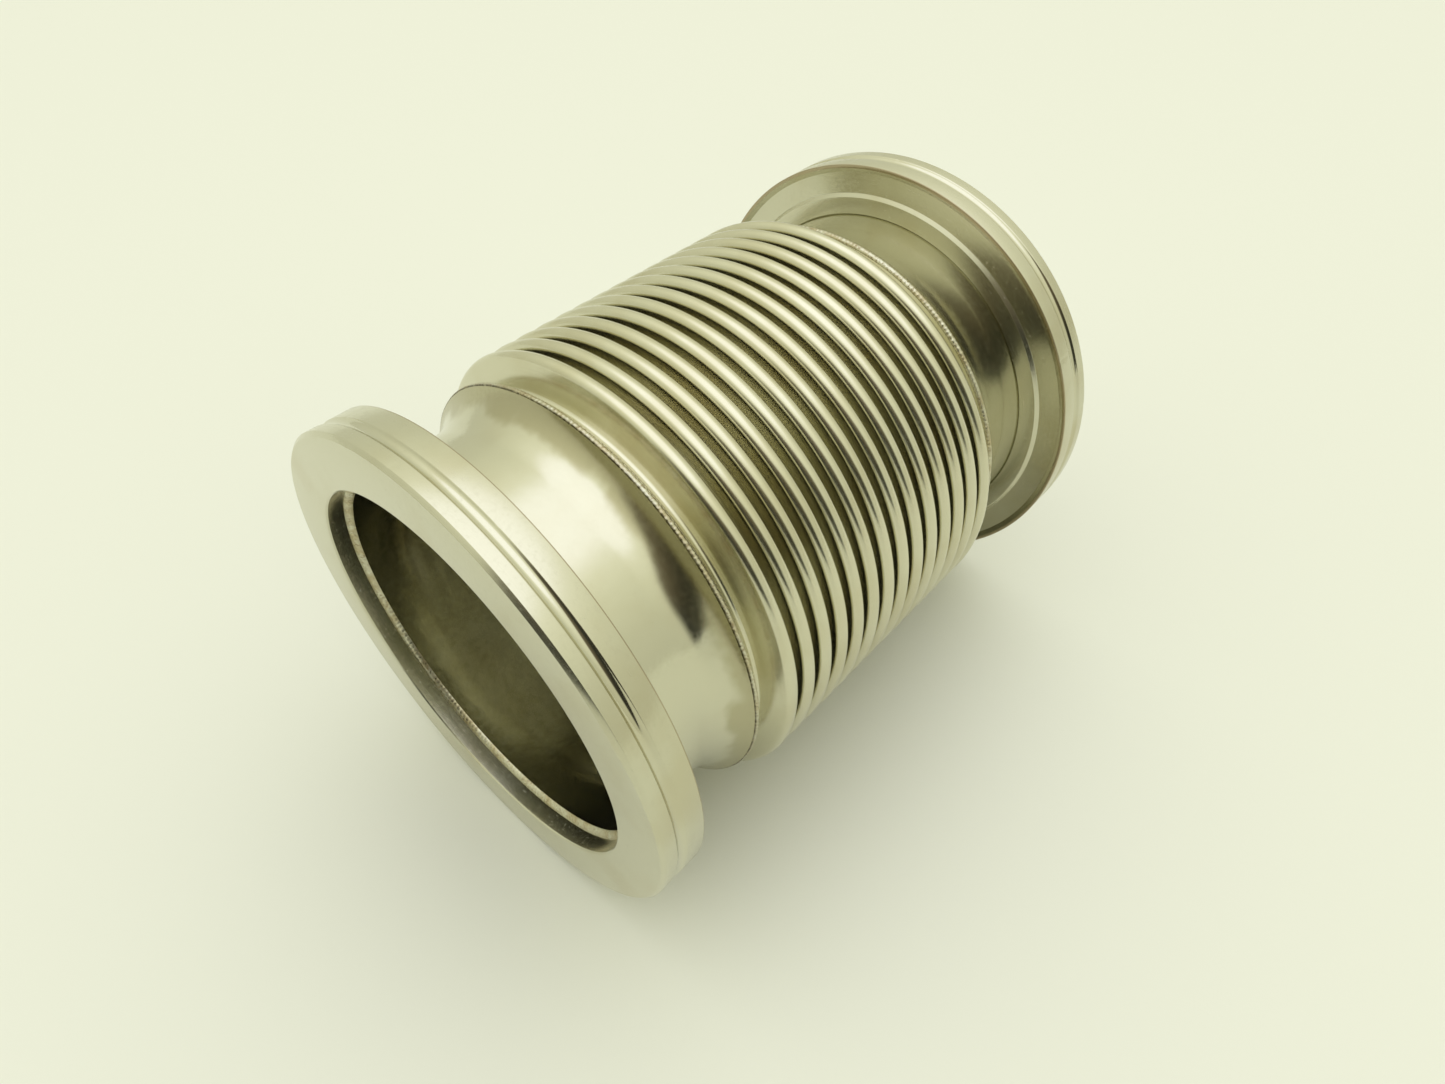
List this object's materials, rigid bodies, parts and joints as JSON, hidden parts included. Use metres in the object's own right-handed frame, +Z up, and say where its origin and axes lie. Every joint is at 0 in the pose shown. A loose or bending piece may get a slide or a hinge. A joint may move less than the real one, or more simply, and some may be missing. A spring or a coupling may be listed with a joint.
{
  "type": "metal bellows expansion joint",
  "caption": "Flexible metal bellows joint for a vacuum or pipe line: a thin corrugated tube welded between two flared stubs, with a grooved clamp flange at each end.",
  "frame": {"origin": "centre of the front flange's sealing face, on the flow axis", "axes": "+X along the flow axis towards the rear flange, +Z up; the joint is shown lying on its side"},
  "size_m": [0.172, 0.13, 0.13],
  "materials": {
    "flange_steel": "fine turned stainless steel, satin, with circular tool marks",
    "tube_steel": "polished stainless steel tube with soft blotchy reflections",
    "bellows_steel": "bright annealed stainless sheet, satin sheen on the crests",
    "weld_steel": "weld bead with straw and brown heat tint"
  },
  "bodies": {
    "front_end": {"front_flange": "flange_steel", "front_tube_stub": "tube_steel", "front_bore_weld": "weld_steel", "front_seam_weld": "weld_steel", "front_bellows_cuff": "bellows_steel"},
    "convolution_01_rear_half": {"convolution_01_rear_half": "bellows_steel"},
    "convolution_02_front_half": {"convolution_02_front_half": "bellows_steel"},
    "convolution_02_rear_half": {"convolution_02_rear_half": "bellows_steel"},
    "convolution_03_front_half": {"convolution_03_front_half": "bellows_steel"},
    "convolution_03_rear_half": {"convolution_03_rear_half": "bellows_steel"},
    "convolution_04_front_half": {"convolution_04_front_half": "bellows_steel"},
    "convolution_04_rear_half": {"convolution_04_rear_half": "bellows_steel"},
    "convolution_05_front_half": {"convolution_05_front_half": "bellows_steel"},
    "convolution_05_rear_half": {"convolution_05_rear_half": "bellows_steel"},
    "convolution_06_front_half": {"convolution_06_front_half": "bellows_steel"},
    "convolution_06_rear_half": {"convolution_06_rear_half": "bellows_steel"},
    "convolution_07_front_half": {"convolution_07_front_half": "bellows_steel"},
    "convolution_07_rear_half": {"convolution_07_rear_half": "bellows_steel"},
    "convolution_08_front_half": {"convolution_08_front_half": "bellows_steel"},
    "convolution_08_rear_half": {"convolution_08_rear_half": "bellows_steel"},
    "convolution_09_front_half": {"convolution_09_front_half": "bellows_steel"},
    "convolution_09_rear_half": {"convolution_09_rear_half": "bellows_steel"},
    "convolution_10_front_half": {"convolution_10_front_half": "bellows_steel"},
    "convolution_10_rear_half": {"convolution_10_rear_half": "bellows_steel"},
    "convolution_11_front_half": {"convolution_11_front_half": "bellows_steel"},
    "convolution_11_rear_half": {"convolution_11_rear_half": "bellows_steel"},
    "convolution_12_front_half": {"convolution_12_front_half": "bellows_steel"},
    "convolution_12_rear_half": {"convolution_12_rear_half": "bellows_steel"},
    "convolution_13_front_half": {"convolution_13_front_half": "bellows_steel"},
    "convolution_13_rear_half": {"convolution_13_rear_half": "bellows_steel"},
    "convolution_14_front_half": {"convolution_14_front_half": "bellows_steel"},
    "rear_end": {"rear_flange": "flange_steel", "rear_tube_stub": "tube_steel", "rear_bore_weld": "weld_steel", "rear_seam_weld": "weld_steel", "rear_bellows_cuff": "bellows_steel"}
  },
  "joints": [
    {"name": "front_pitch_bend", "type": "hinge", "parent": "front_end", "child": "convolution_01_rear_half", "pos_m": [0.04595, 0, 0], "axis": [0, 0.9998, 0.0175], "range_deg": [-1.25, 1.25], "stiffness_Nm_per_rad": 223.5, "deforming": ["front_bellows_cuff", "convolution_01_rear_half"]},
    {"name": "axial_travel", "type": "slide", "parent": "convolution_01_rear_half", "child": "convolution_02_front_half", "axis": [1, 0, 0], "range_m": [-0.0015, 0.00075], "stiffness_N_per_m": 260000, "deforming": ["convolution_02_front_half"]},
    {"name": "front_yaw_bend", "type": "hinge", "parent": "convolution_02_front_half", "child": "convolution_02_rear_half", "pos_m": [0.05211, 0, 0], "axis": [0, -0.0175, 0.9998], "range_deg": [-1.67, 1.67], "stiffness_Nm_per_rad": 223.5, "deforming": ["convolution_02_rear_half"]},
    {"name": "axial_travel_root_02", "type": "slide", "parent": "convolution_02_rear_half", "child": "convolution_03_front_half", "axis": [1, 0, 0], "range_m": [-0.0015, 0.00075], "stiffness_N_per_m": 260000, "deforming": ["convolution_03_front_half"]},
    {"name": "front_pitch_bend_crest_03", "type": "hinge", "parent": "convolution_03_front_half", "child": "convolution_03_rear_half", "pos_m": [0.05827, 0, 0], "axis": [0, 0.9998, 0.0175], "range_deg": [-1.25, 1.25], "stiffness_Nm_per_rad": 223.5, "deforming": ["convolution_03_rear_half"]},
    {"name": "axial_travel_root_03", "type": "slide", "parent": "convolution_03_rear_half", "child": "convolution_04_front_half", "axis": [1, 0, 0], "range_m": [-0.0015, 0.00075], "stiffness_N_per_m": 260000, "deforming": ["convolution_04_front_half"]},
    {"name": "front_yaw_bend_crest_04", "type": "hinge", "parent": "convolution_04_front_half", "child": "convolution_04_rear_half", "pos_m": [0.06444, 0, 0], "axis": [0, -0.0175, 0.9998], "range_deg": [-1.67, 1.67], "stiffness_Nm_per_rad": 223.5, "deforming": ["convolution_04_rear_half"]},
    {"name": "axial_travel_root_04", "type": "slide", "parent": "convolution_04_rear_half", "child": "convolution_05_front_half", "axis": [1, 0, 0], "range_m": [-0.0015, 0.00075], "stiffness_N_per_m": 260000, "deforming": ["convolution_05_front_half"]},
    {"name": "front_pitch_bend_crest_05", "type": "hinge", "parent": "convolution_05_front_half", "child": "convolution_05_rear_half", "pos_m": [0.0706, 0, 0], "axis": [0, 0.9998, 0.0175], "range_deg": [-1.25, 1.25], "stiffness_Nm_per_rad": 223.5, "deforming": ["convolution_05_rear_half"]},
    {"name": "axial_travel_root_05", "type": "slide", "parent": "convolution_05_rear_half", "child": "convolution_06_front_half", "axis": [1, 0, 0], "range_m": [-0.0015, 0.00075], "stiffness_N_per_m": 260000, "deforming": ["convolution_06_front_half"]},
    {"name": "front_yaw_bend_crest_06", "type": "hinge", "parent": "convolution_06_front_half", "child": "convolution_06_rear_half", "pos_m": [0.07676, 0, 0], "axis": [0, -0.0175, 0.9998], "range_deg": [-1.67, 1.67], "stiffness_Nm_per_rad": 223.5, "deforming": ["convolution_06_rear_half"]},
    {"name": "axial_travel_root_06", "type": "slide", "parent": "convolution_06_rear_half", "child": "convolution_07_front_half", "axis": [1, 0, 0], "range_m": [-0.0015, 0.00075], "stiffness_N_per_m": 260000, "deforming": ["convolution_07_front_half"]},
    {"name": "front_pitch_bend_crest_07", "type": "hinge", "parent": "convolution_07_front_half", "child": "convolution_07_rear_half", "pos_m": [0.08292, 0, 0], "axis": [0, 0.9998, 0.0175], "range_deg": [-1.25, 1.25], "stiffness_Nm_per_rad": 223.5, "deforming": ["convolution_07_rear_half"]},
    {"name": "axial_travel_root_07", "type": "slide", "parent": "convolution_07_rear_half", "child": "convolution_08_front_half", "axis": [1, 0, 0], "range_m": [-0.0015, 0.00075], "stiffness_N_per_m": 260000, "deforming": ["convolution_08_front_half"]},
    {"name": "rear_yaw_bend", "type": "hinge", "parent": "convolution_08_front_half", "child": "convolution_08_rear_half", "pos_m": [0.08908, 0, 0], "axis": [0, -0.0175, 0.9998], "range_deg": [-1.25, 1.25], "stiffness_Nm_per_rad": 223.5, "deforming": ["convolution_08_rear_half"]},
    {"name": "axial_travel_root_08", "type": "slide", "parent": "convolution_08_rear_half", "child": "convolution_09_front_half", "axis": [1, 0, 0], "range_m": [-0.0015, 0.00075], "stiffness_N_per_m": 260000, "deforming": ["convolution_09_front_half"]},
    {"name": "rear_pitch_bend", "type": "hinge", "parent": "convolution_09_front_half", "child": "convolution_09_rear_half", "pos_m": [0.09524, 0, 0], "axis": [0, 0.9998, 0.0175], "range_deg": [-1.67, 1.67], "stiffness_Nm_per_rad": 223.5, "deforming": ["convolution_09_rear_half"]},
    {"name": "axial_travel_root_09", "type": "slide", "parent": "convolution_09_rear_half", "child": "convolution_10_front_half", "axis": [1, 0, 0], "range_m": [-0.0015, 0.00075], "stiffness_N_per_m": 260000, "deforming": ["convolution_10_front_half"]},
    {"name": "rear_yaw_bend_crest_10", "type": "hinge", "parent": "convolution_10_front_half", "child": "convolution_10_rear_half", "pos_m": [0.1014, 0, 0], "axis": [0, -0.0175, 0.9998], "range_deg": [-1.25, 1.25], "stiffness_Nm_per_rad": 223.5, "deforming": ["convolution_10_rear_half"]},
    {"name": "axial_travel_root_10", "type": "slide", "parent": "convolution_10_rear_half", "child": "convolution_11_front_half", "axis": [1, 0, 0], "range_m": [-0.0015, 0.00075], "stiffness_N_per_m": 260000, "deforming": ["convolution_11_front_half"]},
    {"name": "rear_pitch_bend_crest_11", "type": "hinge", "parent": "convolution_11_front_half", "child": "convolution_11_rear_half", "pos_m": [0.10756, 0, 0], "axis": [0, 0.9998, 0.0175], "range_deg": [-1.67, 1.67], "stiffness_Nm_per_rad": 223.5, "deforming": ["convolution_11_rear_half"]},
    {"name": "axial_travel_root_11", "type": "slide", "parent": "convolution_11_rear_half", "child": "convolution_12_front_half", "axis": [1, 0, 0], "range_m": [-0.0015, 0.00075], "stiffness_N_per_m": 260000, "deforming": ["convolution_12_front_half"]},
    {"name": "rear_yaw_bend_crest_12", "type": "hinge", "parent": "convolution_12_front_half", "child": "convolution_12_rear_half", "pos_m": [0.11373, 0, 0], "axis": [0, -0.0175, 0.9998], "range_deg": [-1.25, 1.25], "stiffness_Nm_per_rad": 223.5, "deforming": ["convolution_12_rear_half"]},
    {"name": "axial_travel_root_12", "type": "slide", "parent": "convolution_12_rear_half", "child": "convolution_13_front_half", "axis": [1, 0, 0], "range_m": [-0.0015, 0.00075], "stiffness_N_per_m": 260000, "deforming": ["convolution_13_front_half"]},
    {"name": "rear_pitch_bend_crest_13", "type": "hinge", "parent": "convolution_13_front_half", "child": "convolution_13_rear_half", "pos_m": [0.11989, 0, 0], "axis": [0, 0.9998, 0.0175], "range_deg": [-1.67, 1.67], "stiffness_Nm_per_rad": 223.5, "deforming": ["convolution_13_rear_half"]},
    {"name": "axial_travel_root_13", "type": "slide", "parent": "convolution_13_rear_half", "child": "convolution_14_front_half", "axis": [1, 0, 0], "range_m": [-0.0015, 0.00075], "stiffness_N_per_m": 260000, "deforming": ["convolution_14_front_half"]},
    {"name": "rear_yaw_bend_crest_14", "type": "hinge", "parent": "convolution_14_front_half", "child": "rear_end", "pos_m": [0.12605, 0, 0], "axis": [0, -0.0175, 0.9998], "range_deg": [-1.25, 1.25], "stiffness_Nm_per_rad": 223.5, "deforming": ["rear_bellows_cuff"]}
  ],
  "couplings": [
    {"joint": "axial_travel_root_02", "follows": "axial_travel", "ratio": 1},
    {"joint": "front_pitch_bend_crest_03", "follows": "front_pitch_bend", "ratio": 1},
    {"joint": "axial_travel_root_03", "follows": "axial_travel", "ratio": 1},
    {"joint": "front_yaw_bend_crest_04", "follows": "front_yaw_bend", "ratio": 1},
    {"joint": "axial_travel_root_04", "follows": "axial_travel", "ratio": 1},
    {"joint": "front_pitch_bend_crest_05", "follows": "front_pitch_bend", "ratio": 1},
    {"joint": "axial_travel_root_05", "follows": "axial_travel", "ratio": 1},
    {"joint": "front_yaw_bend_crest_06", "follows": "front_yaw_bend", "ratio": 1},
    {"joint": "axial_travel_root_06", "follows": "axial_travel", "ratio": 1},
    {"joint": "front_pitch_bend_crest_07", "follows": "front_pitch_bend", "ratio": 1},
    {"joint": "axial_travel_root_07", "follows": "axial_travel", "ratio": 1},
    {"joint": "axial_travel_root_08", "follows": "axial_travel", "ratio": 1},
    {"joint": "axial_travel_root_09", "follows": "axial_travel", "ratio": 1},
    {"joint": "rear_yaw_bend_crest_10", "follows": "rear_yaw_bend", "ratio": 1},
    {"joint": "axial_travel_root_10", "follows": "axial_travel", "ratio": 1},
    {"joint": "rear_pitch_bend_crest_11", "follows": "rear_pitch_bend", "ratio": 1},
    {"joint": "axial_travel_root_11", "follows": "axial_travel", "ratio": 1},
    {"joint": "rear_yaw_bend_crest_12", "follows": "rear_yaw_bend", "ratio": 1},
    {"joint": "axial_travel_root_12", "follows": "axial_travel", "ratio": 1},
    {"joint": "rear_pitch_bend_crest_13", "follows": "rear_pitch_bend", "ratio": 1},
    {"joint": "axial_travel_root_13", "follows": "axial_travel", "ratio": 1},
    {"joint": "rear_yaw_bend_crest_14", "follows": "rear_yaw_bend", "ratio": 1}
  ]
}
